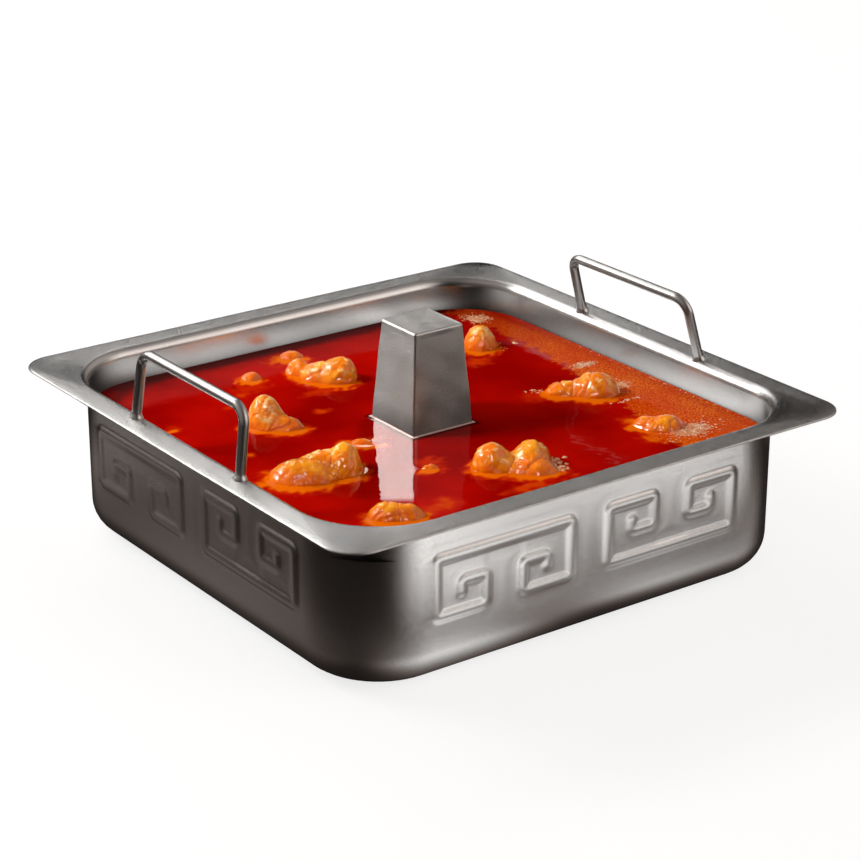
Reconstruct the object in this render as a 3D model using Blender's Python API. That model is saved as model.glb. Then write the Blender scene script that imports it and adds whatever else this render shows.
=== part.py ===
"""Square steel hot pot, filled and ready for the table.

A deep drawn pot with a wide flat rim and a pressed fret on each wall, two bent rod handles
welded to the rim, a square tower standing in the middle, broth up to a finger below the rim,
and pieces of meat lying in the broth. Metres, +Z up, origin in the middle of the pot's base.
X runs through both handles.
"""

import math

import bmesh
import bpy
import numpy as np
from mathutils import Matrix, Vector

# The pot: one sheet of steel.
RIM_HALF = 0.180
RIM_CORNER = 0.020
HEIGHT = 0.101
WALL_HALF = 0.162
WALL_CORNER = 0.050
SHEET = 0.0015
MOUTH_FILLET = 0.006
BASE_FILLET = 0.020
GAP = 0.0003

# The fret: two meander motifs on each wall, the second one upside down.
FRET_HALF_LENGTH = 0.0467
FRET_HALF_HEIGHT = 0.0172
FRET_SPIRAL = 0.034
FRET_INNER_BAR = 0.017
FRET_INNER_RISE = 0.001
FRET_TAIL = 0.0065
FRET_BEND = 0.005
FRET_DEPTH_BELOW_RIM = 0.0435
FRET_SHIFT = -0.0025
FRET_SPACING = 0.120
RIDGE_HALF_WIDTH = 0.0043
RIDGE_HEIGHT = 0.0011
RIDGE_ROOT = 0.0004

# The handles: 6 mm rod.
ROD_RADIUS = 0.003
ROD_SIDES = 10
WELD_RADIUS = 0.0039
WELD_HEIGHT = 0.002
HANDLE_FOOT_X = 0.1665
HANDLE_FOOT_SPREAD = 0.057
HANDLE_TOP_SPREAD = 0.0555
HANDLE_RISE = 0.0395
HANDLE_BEND = 0.010

# The tower: a square cap with sloping sides and folded edges.
TOWER_TOP_HALF = 0.0176
TOWER_TOP_ABOVE_RIM = 0.0414
TOWER_HALF_AT_BROTH = 0.0222
TOWER_EDGE = 0.0012
TOWER_X = -0.001
TOWER_Y = 0.0005

# The broth.
BROTH_BELOW_RIM = 0.022
BROTH_LEVEL = HEIGHT - BROTH_BELOW_RIM

# The meat. A piece is one or more rounded lobes grown together. Each lobe is given by its
# place in the pot, its half length and half width, its half height and how far its middle
# lies under the surface, in millimetres, and the piece by its turn about +Z in degrees.
MEAT = {
    "meat_1": dict(turn=-36, lobes=[(-3.5, 88.5, 12, 11, 20, 6), (-12, 98, 11, 10, 16, 6), (-16, 113, 8, 8, 14, 5)]),
    "meat_2": dict(turn=-36, lobes=[(-82, 49.5, 12, 11, 25, 6), (-75, 39, 13, 9, 13, 6)]),
    "meat_3": dict(turn=0, lobes=[(-47, 121, 8, 8, 11, 7)]),
    "meat_4": dict(turn=-36, lobes=[(-5, 140, 11, 8, 12, 8)]),
    "meat_5": dict(turn=-36, lobes=[(-83, -38, 11, 13, 24, 7), (-95, -32, 14, 12, 18, 6), (-111, -33, 20, 14, 17, 6)]),
    "meat_6": dict(turn=-36, lobes=[(-103, -106, 11, 10, 15, 7), (-92, -113, 12, 9, 13, 7)]),
    "meat_7": dict(turn=-36, lobes=[(-11, -83, 12.5, 12, 21, 7), (11, -91, 13, 12, 20, 7), (4, -102, 17, 9, 12, 7)]),
    "meat_8": dict(turn=-36, lobes=[(113, -24, 15, 13, 20, 7), (97, -13, 12, 9, 14, 7)]),
    "meat_9": dict(turn=-36, lobes=[(107, 85, 11.5, 12, 21.5, 7)]),
    "meat_10": dict(turn=-36, lobes=[(110, -94, 13, 10, 14, 8), (103, -85, 9, 8, 12, 7)]),
    "meat_11": dict(turn=-20, lobes=[(-42, -64, 8, 5, 9, 7)]),
    "meat_12": dict(turn=-36, lobes=[(-52, -8, 12, 7, 10, 8)]),
}
LOBE_BLEND = 2.4
REACH_STEPS = 90
REACH_FAR = 46.0
MEAT_BUMPS = 7
MEAT_BUMP_SIZE = 0.13
MEAT_BUMP_WIDTH = 0.12
SMALL_MEAT = 9.0
MEAT_POCKET = 0.00045


def clear_scene():
    for thing in list(bpy.data.objects):
        bpy.data.objects.remove(thing, do_unlink=True)


def finish(name, colour, roughness, metallic):
    """A plain material for one kind of piece."""
    made = bpy.data.materials.new(name)
    made.use_nodes = True
    shader = made.node_tree.nodes["Principled BSDF"]
    shader.inputs["Base Color"].default_value = (*colour, 1.0)
    shader.inputs["Roughness"].default_value = roughness
    shader.inputs["Metallic"].default_value = metallic
    return made


def add_piece(name, bm, material, sharp_angle=30.0):
    """Turn a finished bmesh into an object of the scene, faces outward."""
    bmesh.ops.recalc_face_normals(bm, faces=bm.faces)
    mesh = bpy.data.meshes.new(name)
    bm.to_mesh(mesh)
    bm.free()
    mesh.shade_smooth()
    mesh.set_sharp_from_angle(angle=math.radians(sharp_angle))
    mesh.materials.append(material)
    piece = bpy.data.objects.new(name, mesh)
    bpy.context.scene.collection.objects.link(piece)
    return piece


def add_cutter(name, bm, material):
    cutter = add_piece(name, bm, material)
    cutter.hide_render = True
    cutter.display_type = "WIRE"
    return cutter


def combine(piece, operand, operation):
    step = piece.modifiers.new(operation.lower(), "BOOLEAN")
    step.operation = operation
    step.solver = "EXACT"
    step.object = operand


def skin(bm, rings):
    """Join rings of equal point count with quads and close both ends."""
    loops = [[bm.verts.new(point) for point in ring] for ring in rings]
    for low, high in zip(loops, loops[1:]):
        for i in range(len(low)):
            j = (i + 1) % len(low)
            bm.faces.new((low[i], low[j], high[j], high[i]))
    bm.faces.new(loops[0][::-1])
    bm.faces.new(loops[-1])


def square_ring(half, corner, z, steps=8, middle=(0.0, 0.0)):
    """Points of a square of half width `half` with round corners, at height z."""
    ring = []
    for quarter in range(4):
        turn = math.radians(90 * quarter)
        for k in range(steps + 1):
            a = turn + math.radians(90 * k / steps)
            along = half - corner
            cx = along * (math.cos(turn) - math.sin(turn))
            cy = along * (math.sin(turn) + math.cos(turn))
            x = middle[0] + cx + corner * math.cos(a)
            y = middle[1] + cy + corner * math.sin(a)
            ring.append(Vector((x, y, z)))
    return ring


def bowl_rings(wall, corner, floor, fillet, steps=4):
    """Rings of a square bowl's round lower edge, from its floor out to its wall."""
    rings = []
    for k in range(steps + 1):
        a = math.radians(90 * k / steps)
        inset = fillet * (1 - math.sin(a))
        rise = fillet * (1 - math.cos(a))
        rings.append(square_ring(wall - inset, corner - inset, floor + rise))
    return rings


def mouth_rings(wall, corner, fillet, top, steps=3):
    """Rings of the round bend from the wall out to the flat rim, upward."""
    rings = []
    for k in range(steps + 1):
        a = math.radians(90 * k / steps)
        out = fillet * (1 - math.cos(a))
        z = top - fillet * (1 - math.sin(a))
        rings.append(square_ring(wall + out, corner + out, z))
    return rings


def round_corners(points, radius, steps):
    """A polyline with each inner corner turned into an arc of the given radius."""
    path = [points[0]]
    for before, corner, after in zip(points, points[1:], points[2:]):
        back = (before - corner).normalized()
        ahead = (after - corner).normalized()
        half_angle = back.angle(ahead) / 2
        reach = radius / math.tan(half_angle)
        centre = corner + (back + ahead).normalized() * (radius / math.sin(half_angle))
        first = corner + back * reach - centre
        last = corner + ahead * reach - centre
        sweep_angle = first.angle(last)
        for k in range(steps + 1):
            t = k / steps
            blend = first * math.sin((1 - t) * sweep_angle) + last * math.sin(t * sweep_angle)
            path.append(centre + blend / math.sin(sweep_angle))
    path.append(points[-1])
    return path


def sweep(bm, path, side, section, scales=None):
    """Carry a section along a flat path. `side` is square to the path's plane."""
    rings = []
    for i, point in enumerate(path):
        arriving = (point - path[max(i - 1, 0)]).normalized()
        leaving = (path[min(i + 1, len(path) - 1)] - point).normalized()
        tangent = (arriving + leaving).normalized()
        across = side.cross(tangent)
        mitre = 1 / max(tangent.dot(arriving), tangent.dot(leaving))
        size = scales[i] if scales else 1.0
        rings.append([point + across * (a * mitre * size) + side * (b * size) for a, b in section])
    skin(bm, rings)


def fret_motif(middle, sign):
    """One meander motif on the wall, as points (along, up): a long bar with a square
    spiral turning inward at each end. sign is 1 with the bar above, -1 below."""
    bar = FRET_HALF_HEIGHT * sign
    inner = FRET_INNER_RISE * sign
    out = FRET_HALF_LENGTH
    turn_in = out - FRET_SPIRAL
    tail = turn_in + FRET_INNER_BAR
    half = [(tail, inner - FRET_TAIL * sign), (tail, inner), (turn_in, inner)]
    half += [(turn_in, -bar), (out, -bar), (out, bar)]
    left = [(middle - s, z) for s, z in half]
    right = [(middle + s, z) for s, z in reversed(half)]
    return left + right


def add_fret(material):
    """The raised fret of all four walls, as ridges rooted in the wall."""
    bm = bmesh.new()
    w = RIDGE_HALF_WIDTH
    h = RIDGE_HEIGHT
    section = [(-w, -RIDGE_ROOT), (w, -RIDGE_ROOT), (w * 0.5, h * 0.75), (0, h), (-w * 0.5, h * 0.75)]
    outward = Vector((0, -1, 0))
    level = HEIGHT - FRET_DEPTH_BELOW_RIM
    for quarter in range(4):
        turn = Matrix.Rotation(math.radians(-90 * quarter), 3, "Z")
        for sign in (1, -1):
            motif = fret_motif(FRET_SHIFT - sign * FRET_SPACING / 2, sign)
            corners = [Vector((s, -WALL_HALF, level + z)) for s, z in motif]
            path = round_corners(corners, FRET_BEND, 2)
            path = [turn @ point for point in path]
            sweep(bm, path, turn @ outward, section)
    return add_cutter("fret_ridges", bm, material)


def add_pot(material):
    """Sheet shell: outside from the base up to the rim, then inside back down."""
    bm = bmesh.new()
    outer_bend = MOUTH_FILLET - SHEET
    inner_wall = WALL_HALF - SHEET
    inner_corner = WALL_CORNER - SHEET
    rings = bowl_rings(WALL_HALF, WALL_CORNER, 0.0, BASE_FILLET)
    rings += mouth_rings(WALL_HALF, WALL_CORNER, outer_bend, HEIGHT - SHEET)
    rings.append(square_ring(RIM_HALF, RIM_CORNER, HEIGHT - SHEET))
    rings.append(square_ring(RIM_HALF, RIM_CORNER, HEIGHT))
    rings += mouth_rings(inner_wall, inner_corner, MOUTH_FILLET, HEIGHT)[::-1]
    rings += bowl_rings(inner_wall, inner_corner, SHEET, BASE_FILLET - SHEET)[::-1]
    skin(bm, rings)
    pot = add_piece("pot", bm, material)
    combine(pot, add_fret(material), "UNION")
    return pot


def add_handle(name, side_sign, lean, shift, material):
    """Rod bent to a U and leaning in over the pot, cut level just above the rim."""
    top_x = HANDLE_FOOT_X - HANDLE_RISE * math.tan(math.radians(lean))
    foot_x = HANDLE_FOOT_X
    below = WELD_HEIGHT * 2
    slope_x = (top_x - foot_x) / HANDLE_RISE
    slope_y = (HANDLE_TOP_SPREAD - HANDLE_FOOT_SPREAD) / HANDLE_RISE

    def on_leg(end, up):
        x = foot_x + slope_x * up
        y = end * (HANDLE_FOOT_SPREAD + slope_y * up) + shift
        return Vector((side_sign * x, y, HEIGHT + up))

    bends = [on_leg(1, WELD_HEIGHT), on_leg(1, HANDLE_RISE), on_leg(-1, HANDLE_RISE), on_leg(-1, WELD_HEIGHT)]
    rod = round_corners(bends, HANDLE_BEND, 5)
    path = [on_leg(1, -below), on_leg(1, GAP)] + rod + [on_leg(-1, GAP), on_leg(-1, -below)]
    flare = WELD_RADIUS / ROD_RADIUS
    scales = [flare, flare] + [1.0] * len(rod) + [flare, flare]
    along = (path[0] - path[-1]).normalized()
    up = (bends[1] - bends[0]).normalized()
    turns = [2 * math.pi * k / ROD_SIDES for k in range(ROD_SIDES)]
    section = [(ROD_RADIUS * math.cos(a), ROD_RADIUS * math.sin(a)) for a in turns]
    bm = bmesh.new()
    sweep(bm, path, along.cross(up).normalized(), section, scales)
    foot = Vector((0, 0, HEIGHT + GAP))
    everything = bm.verts[:] + bm.edges[:] + bm.faces[:]
    cut = bmesh.ops.bisect_plane(bm, geom=everything, plane_co=foot, plane_no=(0, 0, 1), clear_inner=True)
    rim = [thing for thing in cut["geom_cut"] if isinstance(thing, bmesh.types.BMEdge)]
    bmesh.ops.edgenet_fill(bm, edges=rim)
    return add_piece(name, bm, material)


def tower_half(z):
    """Half width of the tower's sloping side at height z."""
    top = HEIGHT + TOWER_TOP_ABOVE_RIM
    slope = (TOWER_HALF_AT_BROTH - TOWER_TOP_HALF) / (top - BROTH_LEVEL)
    return TOWER_TOP_HALF + slope * (top - z)


def fill_tower(bm, bottom, grow):
    """The tower's closed shape from `bottom` up, grown by `grow` on its sides."""
    top = HEIGHT + TOWER_TOP_ABOVE_RIM
    edge = TOWER_EDGE
    middle = (TOWER_X, TOWER_Y)
    stations = [(bottom, 0.0), (top - edge, 0.0), (top - edge * 0.3, edge * 0.3), (top, edge)]
    rings = []
    for z, inset in stations:
        half = tower_half(z) + grow - inset
        rings.append(square_ring(half, edge + grow, z, 2, middle))
    skin(bm, rings)


def add_tower(material):
    bm = bmesh.new()
    fill_tower(bm, SHEET + GAP, 0.0)
    return add_piece("tower", bm, material)


def turned_lobes(piece):
    """The lobes of a piece in the frame that is turned with it."""
    spin = math.radians(piece["turn"])
    lobes = []
    for x, y, *rest in piece["lobes"]:
        along = x * math.cos(spin) + y * math.sin(spin)
        across = -x * math.sin(spin) + y * math.cos(spin)
        lobes.append((along, across, *rest))
    return np.array(lobes, float)


def lobe_pulls(points, lobes):
    """How far inside each lobe the points are: LOBE_BLEND * (1 - q**2), where q is the
    distance from the lobe's middle over its radius that way."""
    middles = np.stack([lobes[:, 0], lobes[:, 1], -lobes[:, 5]], -1)
    q = (points[..., None, :] - middles) / lobes[:, 2:5]
    return LOBE_BLEND * (1 - (q**2).sum(-1))


def blended_reach(unit, origin, lobes):
    """Distance from the origin to the skin along each direction: the furthest place where
    the sum of exp(pull) over the lobes comes down to 1."""
    along = np.linspace(0, REACH_FAR, REACH_STEPS)
    probes = origin + unit[..., None, :] * along[:, None]
    inside = np.log(np.exp(np.maximum(lobe_pulls(probes, lobes), -60)).sum(-1))
    last = REACH_STEPS - 2 - np.argmax(inside[..., -2::-1] > 0, -1)
    here = np.take_along_axis(inside, last[..., None], -1)[..., 0]
    beyond = np.take_along_axis(inside, last[..., None] + 1, -1)[..., 0]
    return (last + np.clip(here / (here - beyond), 0, 1)) * along[1]


def meat_points(piece, seed, tilts, turns):
    """Surface of a piece, row by row from its top: the reach of its blended lobes along
    each direction, raised by a few round bumps."""
    tilt, turn = np.meshgrid(tilts, turns, indexing="ij")
    unit = np.stack([np.sin(tilt) * np.cos(turn), np.sin(tilt) * np.sin(turn), np.cos(tilt)], -1)
    unit = unit.reshape(-1, 3)
    lobes = turned_lobes(piece)
    origin = np.array([lobes[:, 0].mean(), lobes[:, 1].mean(), -lobes[:, 5].mean()])
    reach = blended_reach(unit, origin, lobes)
    rng = np.random.RandomState(seed)
    for _ in range(MEAT_BUMPS):
        centre = rng.normal(size=3)
        centre /= np.linalg.norm(centre)
        bump = rng.uniform(-0.5, 1.0) * MEAT_BUMP_SIZE
        reach = reach * (1 + bump * np.exp((unit @ centre - 1) / MEAT_BUMP_WIDTH))
    local = origin + unit * reach[:, None]
    spin = math.radians(piece["turn"])
    x = local[:, 0] * math.cos(spin) - local[:, 1] * math.sin(spin)
    y = local[:, 0] * math.sin(spin) + local[:, 1] * math.cos(spin)
    z = local[:, 2] + BROTH_LEVEL * 1000
    return np.stack([x, y, z], 1) / 1000, unit


def fill_meat(bm, piece, seed, grow):
    """One closed piece of meat, grown outward by `grow` for its pocket in the broth."""
    small = max(lobe[3] for lobe in piece["lobes"]) < SMALL_MEAT
    rows, columns = (6, 10) if small else (10, 18)
    tilts = np.linspace(0, math.pi, rows)[1:-1]
    turns = np.linspace(0, 2 * math.pi, columns, endpoint=False)
    spin = math.radians(piece["turn"])
    points, unit = meat_points(piece, seed, tilts, turns)
    ends, end_unit = meat_points(piece, seed, np.array([0, math.pi]), np.array([0.0]))
    turned = Matrix.Rotation(spin, 3, "Z")
    verts = [bm.verts.new(Vector(p) + (turned @ Vector(u)) * grow) for p, u in zip(points, unit)]
    top, bottom = [bm.verts.new(Vector(p) + Vector(u) * grow) for p, u in zip(ends, end_unit)]
    for j in range(columns):
        k = (j + 1) % columns
        bm.faces.new((top, verts[j], verts[k]))
        last = (rows - 3) * columns
        bm.faces.new((bottom, verts[last + k], verts[last + j]))
        for i in range(rows - 3):
            a = i * columns
            b = a + columns
            bm.faces.new((verts[a + j], verts[b + j], verts[b + k]))
            bm.faces.new((verts[a + j], verts[b + k], verts[a + k]))


def add_meat(material):
    for seed, (name, piece) in enumerate(MEAT.items()):
        bm = bmesh.new()
        fill_meat(bm, piece, seed, 0.0)
        add_piece(name, bm, material, 180.0)


def add_broth(material):
    """Broth filling the bowl up to its level, cut round the tower and the meat."""
    wall = WALL_HALF - SHEET - GAP
    corner = WALL_CORNER - SHEET - GAP
    floor = SHEET + GAP
    bm = bmesh.new()
    rings = bowl_rings(wall, corner, floor, BASE_FILLET - SHEET - GAP)
    rings.append(square_ring(wall, corner, BROTH_LEVEL))
    skin(bm, rings)
    broth = add_piece("broth", bm, material)
    pockets = bmesh.new()
    fill_tower(pockets, -SHEET, GAP)
    for seed, piece in enumerate(MEAT.values()):
        fill_meat(pockets, piece, seed, MEAT_POCKET)
    combine(broth, add_cutter("broth_pockets", pockets, material), "DIFFERENCE")
    return broth


clear_scene()
brushed = finish("brushed_steel", (0.56, 0.55, 0.54), 0.35, 1.0)
polished = finish("rod_steel", (0.62, 0.61, 0.60), 0.18, 1.0)
red_broth = finish("broth", (0.50, 0.01, 0.004), 0.08, 0.0)
stewed_meat = finish("meat", (0.85, 0.33, 0.05), 0.25, 0.0)
add_pot(brushed)
add_tower(brushed)
add_handle("handle_left", -1, 7.5, -0.001, polished)
add_handle("handle_right", 1, 16.0, -0.0045, polished)
add_meat(stewed_meat)
add_broth(red_broth)
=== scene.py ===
"""Square steel hot pot, filled with red broth and pieces of stewed meat, on a pale floor."""

import math

import bpy
import numpy as np
from mathutils import Matrix, Vector


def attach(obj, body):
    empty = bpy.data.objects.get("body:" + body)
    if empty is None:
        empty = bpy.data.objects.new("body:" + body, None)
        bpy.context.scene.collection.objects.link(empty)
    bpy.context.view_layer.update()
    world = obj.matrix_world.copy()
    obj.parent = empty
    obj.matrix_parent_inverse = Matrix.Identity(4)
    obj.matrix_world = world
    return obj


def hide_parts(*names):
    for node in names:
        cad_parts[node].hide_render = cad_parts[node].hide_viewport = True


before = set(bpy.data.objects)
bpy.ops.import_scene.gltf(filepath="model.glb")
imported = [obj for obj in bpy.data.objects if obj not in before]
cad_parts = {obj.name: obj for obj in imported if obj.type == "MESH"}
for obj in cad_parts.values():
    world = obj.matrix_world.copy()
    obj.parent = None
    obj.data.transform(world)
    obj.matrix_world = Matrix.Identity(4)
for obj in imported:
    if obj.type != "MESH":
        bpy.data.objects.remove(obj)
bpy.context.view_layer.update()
scene = bpy.context.scene

# ---------------------------------------------------------------------------------------
# The camera. It stands out from the pot's nearest corner, well above the rim, and looks
# down on the broth through a long lens.
# ---------------------------------------------------------------------------------------
CAMERA_TARGET = Vector((-0.0396, -0.0608, 0.101))
CAMERA_AZIMUTH = math.radians(-36.1126)
CAMERA_ELEVATION = math.radians(21.6796)
CAMERA_ROLL = math.radians(0.1293)
CAMERA_DISTANCE = 1.435
CAMERA_LENS = 104.28
CAMERA_SENSOR = 36.0

camera_back = Vector((
    math.sin(CAMERA_AZIMUTH) * math.cos(CAMERA_ELEVATION),
    -math.cos(CAMERA_AZIMUTH) * math.cos(CAMERA_ELEVATION),
    math.sin(CAMERA_ELEVATION),
))
level_right = Vector((math.cos(CAMERA_AZIMUTH), math.sin(CAMERA_AZIMUTH), 0.0))
level_up = camera_back.cross(level_right)
camera_right = level_right * math.cos(CAMERA_ROLL) + level_up * math.sin(CAMERA_ROLL)
camera_up = level_up * math.cos(CAMERA_ROLL) - level_right * math.sin(CAMERA_ROLL)
camera = bpy.data.objects.new("camera", bpy.data.cameras.new("camera"))
scene.collection.objects.link(camera)
turned = Matrix((camera_right, camera_up, camera_back)).transposed().to_4x4()
camera.matrix_world = Matrix.Translation(CAMERA_TARGET + camera_back * CAMERA_DISTANCE) @ turned
camera.data.lens = CAMERA_LENS
camera.data.sensor_width = CAMERA_SENSOR
scene.camera = camera
scene.view_settings.view_transform = "Standard"


# ---------------------------------------------------------------------------------------
# The studio light: a dim room with pale walls for the steel to mirror, and four soft boxes
# behind the pot. Two more lamps are aimed at the food alone, and two at the tower alone.
# ---------------------------------------------------------------------------------------
class Amount:
    """A number on a shader socket. Python's + - * / on it add Math nodes."""

    def __init__(self, mix, socket):
        self.mix, self.socket = mix, socket

    def math(self, operation, *others):
        """A Math node on this number, and on the ones given after it."""
        return self.mix.node("Math", {"operation": operation}, dict(enumerate((self, *others))))

    def __add__(self, other):
        return self.math("ADD", other)

    def __sub__(self, other):
        return self.math("SUBTRACT", other)

    def __rsub__(self, other):
        return self.mix.node("Math", {"operation": "SUBTRACT"}, {0: other, 1: self})

    def __mul__(self, other):
        return self.math("MULTIPLY", other)

    def __truediv__(self, other):
        return self.math("DIVIDE", other)

    def clip(self):
        """The number held between 0 and 1."""
        return self.mix.node("Clamp", {}, {"Value": self})

    def ease(self, low, high):
        """0 below `low`, 1 above `high`, with a smooth step between."""
        span = {"From Min": low, "From Max": high, "Value": self}
        return self.mix.node("MapRange", {"interpolation_type": "SMOOTHSTEP"}, span)

    __radd__ = __add__
    __rmul__ = __mul__


class Mix:
    """A node tree being filled. node() adds any node: its type, then its settings, then
    the values or links of its sockets, and hands back one of its outputs."""

    def __init__(self, tree):
        self.tree = tree
        tree.nodes.clear()

    def node(self, kind, settings, sockets, result=0):
        made = self.tree.nodes.new("ShaderNode" + kind)
        for name, value in settings.items():
            setattr(made, name, value)
        for name, value in sockets.items():
            if isinstance(value, Amount):
                self.tree.links.new(value.socket, made.inputs[name])
            else:
                made.inputs[name].default_value = value
        return Amount(self, made.outputs[result]) if made.outputs else None

    def blend(self, share, first, second):
        """`first` where share is 0, `second` where it is 1; both are colours."""
        sockets = {0: share}
        for place, colour in ((6, first), (7, second)):
            sockets[place] = colour if isinstance(colour, Amount) else (*colour, 1.0)
        return self.node("Mix", {"data_type": "RGBA"}, sockets, 2)


WHITE = (1.0, 1.0, 1.0, 1.0)
LAMP_COLOUR = (1.0, 0.985, 0.97)
ROOM_COLOUR = (1.0, 0.90, 0.84)
ROOM_LIGHT = 0.03
# Pale walls of the room: the way to each, the cosines where its edge starts and ends, and
# its brightness.
ROOM_WALLS = [
    ((-0.80, 0.30, 0.50), 0.20, 0.90, 0.25), ((0.54, -0.83, 0.12), 0.84, 0.97, 0.50),
    ((0.50, -0.70, 0.50), 0.84, 0.97, 0.68), ((0.90, -0.20, 0.40), 0.40, 0.95, 0.40),
    ((-0.66, 0.75, 0.10), 0.88, 0.985, 0.22),
]
# A dark doorway behind the pot: the way to it, and the cosines of its edge.
DOOR_TOWARDS = (0.5475, 0.7507, 0.3695)
DOOR_EDGE = (0.93, 0.985)


def cosine_to(mix, towards, direction):
    """Cosine of the angle between the ray and a direction."""
    unit = tuple(Vector(direction).normalized())
    return mix.node("VectorMath", {"operation": "DOT_PRODUCT"}, {0: towards, 1: unit}, "Value")


room = bpy.data.worlds.new("studio")
scene.world = room
room.use_nodes = True
mix = Mix(room.node_tree)
towards = mix.node("TexCoord", {}, {}, "Generated")
upward = mix.node("SeparateXYZ", {}, {"Vector": towards}, "Z")
walls = sum(
    cosine_to(mix, towards, way).ease(low, high) * bright for way, low, high, bright in ROOM_WALLS
)
door = cosine_to(mix, towards, DOOR_TOWARDS).ease(*DOOR_EDGE)
light = (upward.ease(-0.2, 0.3) * ROOM_LIGHT + walls) * (1 - door)
studio = mix.node("Background", {}, {"Color": (*ROOM_COLOUR, 1.0), "Strength": light})
backdrop = mix.node("Background", {}, {"Color": WHITE, "Strength": 1.0})
seen = mix.node("LightPath", {}, {}, "Is Camera Ray")
chosen = mix.node("MixShader", {}, {0: seen, 1: studio, 2: backdrop})
mix.node("OutputWorld", {}, {"Surface": chosen})

# Each lamp: the way to it from the pot, its distance, width, height and brightness, and
# the group of pieces that it is aimed at, if it lights nothing else.
LIGHT_CENTRE = Vector((0.0, 0.0, 0.10))
SOFT_BOXES = {
    "box_back_left": ((-0.45, 0.75, 0.50), 2.0, 0.8, 0.6, 7.4, ""),
    "box_back_middle": ((-0.22, 0.75, 0.62), 2.0, 0.6, 0.5, 2.7, ""),
    "box_back": ((0.36, 0.75, 0.555), 3.0, 0.9, 0.6, 2.2, ""),
    "box_back_high": ((0.08, 0.76, 0.64), 3.0, 0.9, 0.9, 2.8, ""),
    "box_key": ((-0.66, 0.42, 0.62), 2.0, 0.45, 0.45, 62.0, "food"),
    "box_fill": ((-0.45, -0.65, 0.61), 2.0, 0.4, 0.4, 14.0, "food"),
    "box_tower_side": ((-0.66, 0.72, 0.18), 2.0, 0.9, 0.6, 6.5, "tower"),
    "box_tower_top": (DOOR_TOWARDS, 2.0, 0.7, 0.5, 0.9, "tower"),
}
aimed_at = {name: bpy.data.collections.new(name) for name in ("food", "tower")}
for name, (direction, distance, width, tall, brightness, group) in SOFT_BOXES.items():
    lamp = bpy.data.lights.new(name, "AREA")
    lamp.shape = "RECTANGLE"
    lamp.size, lamp.size_y = width, tall
    lamp.energy = brightness * math.pi * width * tall
    lamp.color = LAMP_COLOUR
    box = bpy.data.objects.new(name, lamp)
    scene.collection.objects.link(box)
    way = Vector(direction).normalized()
    box.matrix_world = (
        Matrix.Translation(LIGHT_CENTRE + way * distance)
        @ way.to_track_quat("Z", "Y").to_matrix().to_4x4()
    )
    box.visible_camera = False
    if group:
        box.light_linking.receiver_collection = aimed_at[group]

# ---------------------------------------------------------------------------------------
# The floor: a plain pale sheet, which only the eye sees. In its place the steel mirrors a
# dim glowing board with pale patches, and the bowl's inside mirrors a glowing sheet at the
# broth's level, a painted reflection of the sheen on the broth.
# ---------------------------------------------------------------------------------------
FLOOR_REACH = 9.0
FLOOR_COLOUR = (0.45, 0.45, 0.45)
FLOOR_GLOW = 0.79
BOARD_DEPTH = 0.002
BOARD_GLOW = 0.012
# Pale patches, lengths in millimetres: place x and y, reach in x and y, brightness.
BOARD_PATCHES = [
    (-85, -188, 38, 16, 1.05), (70, -192, 38, 14, 0.62), (150, -192, 38, 14, 0.34),
    (240, -192, 38, 14, 0.25), (-10, -272, 38, 30, 0.46), (-85, -345, 38, 50, 0.90),
    (-10, -345, 38, 50, 1.25), (70, -345, 38, 50, 0.70), (150, -345, 38, 50, 0.86),
    (240, -345, 38, 50, 1.26), (-196, 40, 18, 110, 0.15), (-215, -50, 35, 60, 0.035),
    (-290, 130, 35, 70, 0.10), (-290, 280, 35, 70, 0.30), (-190, 250, 25, 40, 0.16),
    (0, -500, 90, 90, 1.00), (200, -500, 90, 90, 0.85), (350, -900, 220, 250, 0.95),
]
SHEEN_HALF = 0.158
SHEEN_LEVEL = 0.0788
SHEEN_PATCHES = [
    (-85, 138, 18, 18, 0.30), (-45, 138, 24, 18, 0.58), (10, 138, 24, 18, 0.66),
    (60, 138, 20, 18, 0.52), (90, 141, 14, 15, 0.80), (122, 143, 10, 10, 0.65),
    (145, -90, 18, 24, 0.95), (145, -40, 18, 24, 0.82), (145, 10, 18, 24, 0.50),
    (145, 60, 18, 24, 0.36), (145, 110, 18, 24, 0.14), (-60, 60, 40, 40, 0.48),
    (-115, 115, 22, 18, 0.80),
]
# The tint where a sheet is dimmest, and the gain that takes it to the lamps' colour.
DIM_TINT = (1.0, 0.78, 0.70)
TINT_GAIN = 2.2


def flat_sheet(name, level, reach):
    """A level square that reaches the given length each way."""
    corners = [(-reach, -reach), (reach, -reach), (reach, reach), (-reach, reach)]
    mesh = bpy.data.meshes.new(name)
    mesh.from_pydata([(x, y, level) for x, y in corners], [], [(0, 1, 2, 3)])
    thing = bpy.data.objects.new(name, mesh)
    scene.collection.objects.link(thing)
    return thing


def new_finish(name):
    """A new material, and the Mix that fills its node tree."""
    finish = bpy.data.materials.new(name)
    finish.use_nodes = True
    return finish, Mix(finish.node_tree)


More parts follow.
